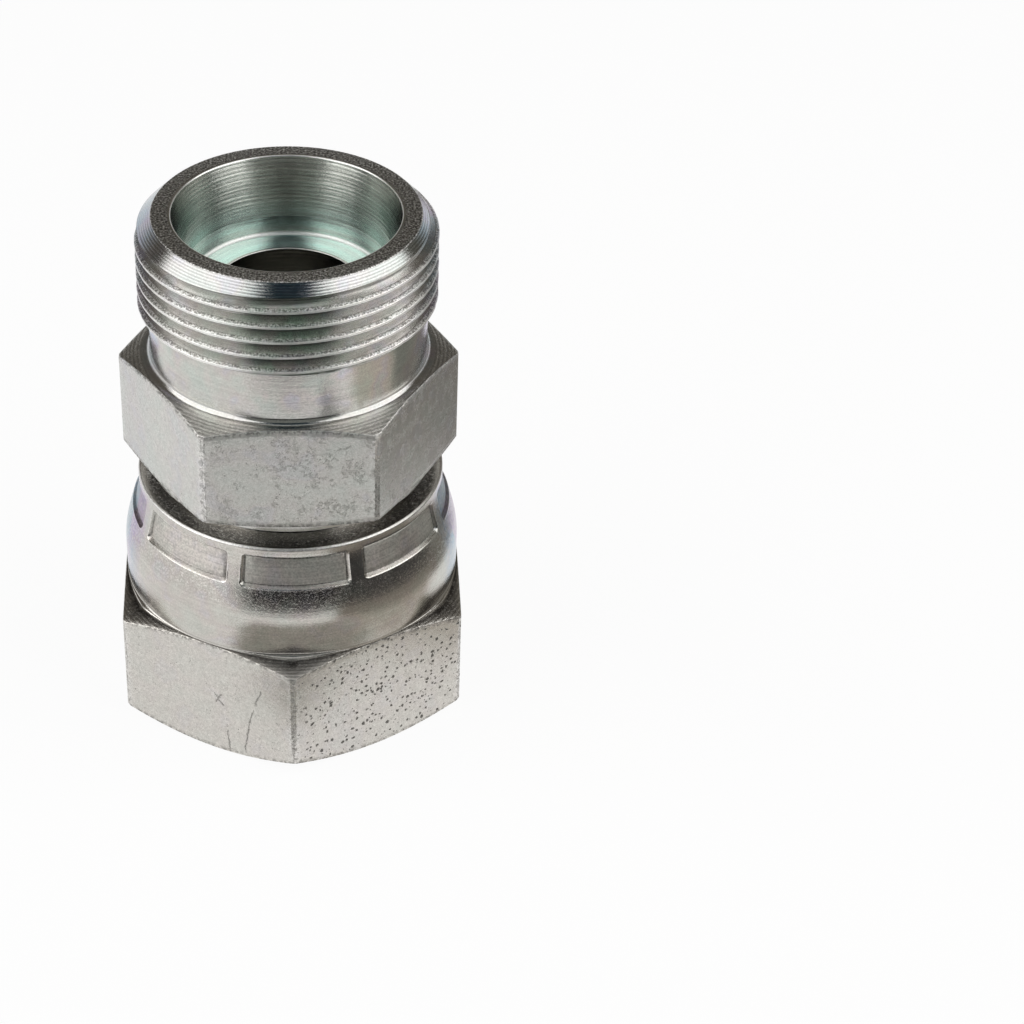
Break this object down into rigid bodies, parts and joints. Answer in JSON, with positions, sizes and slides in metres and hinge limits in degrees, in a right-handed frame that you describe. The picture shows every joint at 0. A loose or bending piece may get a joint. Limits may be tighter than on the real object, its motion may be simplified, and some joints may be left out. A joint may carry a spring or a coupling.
{
  "type": "straight adapter",
  "caption": "Hydraulic straight adapter: hexagon body with a male tube end and a cone nose, held in a crimped swivel nut.",
  "frame": {"origin": "centre of the flat mouth face of the swivel nut, which the part stands on", "axes": "+Z along the fitting's axis towards the male tube end; -Y faces a flat of the body hexagon and a corner of the nut"},
  "size_m": [0.0316, 0.0364, 0.05],
  "materials": {
    "body_steel": "zinc plated, fine turning marks",
    "nut_steel": "zinc plated, milled flats and pressed crimp marks",
    "seal_rubber": "satin black"
  },
  "bodies": {
    "fitting": {"body": "body_steel", "o_ring": "seal_rubber"},
    "nut": {"swivel_nut": "nut_steel"}
  },
  "joints": [
    {"name": "nut_swivel", "type": "hinge", "parent": "fitting", "child": "nut", "pos_m": [0, 0, 0], "axis": [0, 0, 1], "continuous": true}
  ]
}
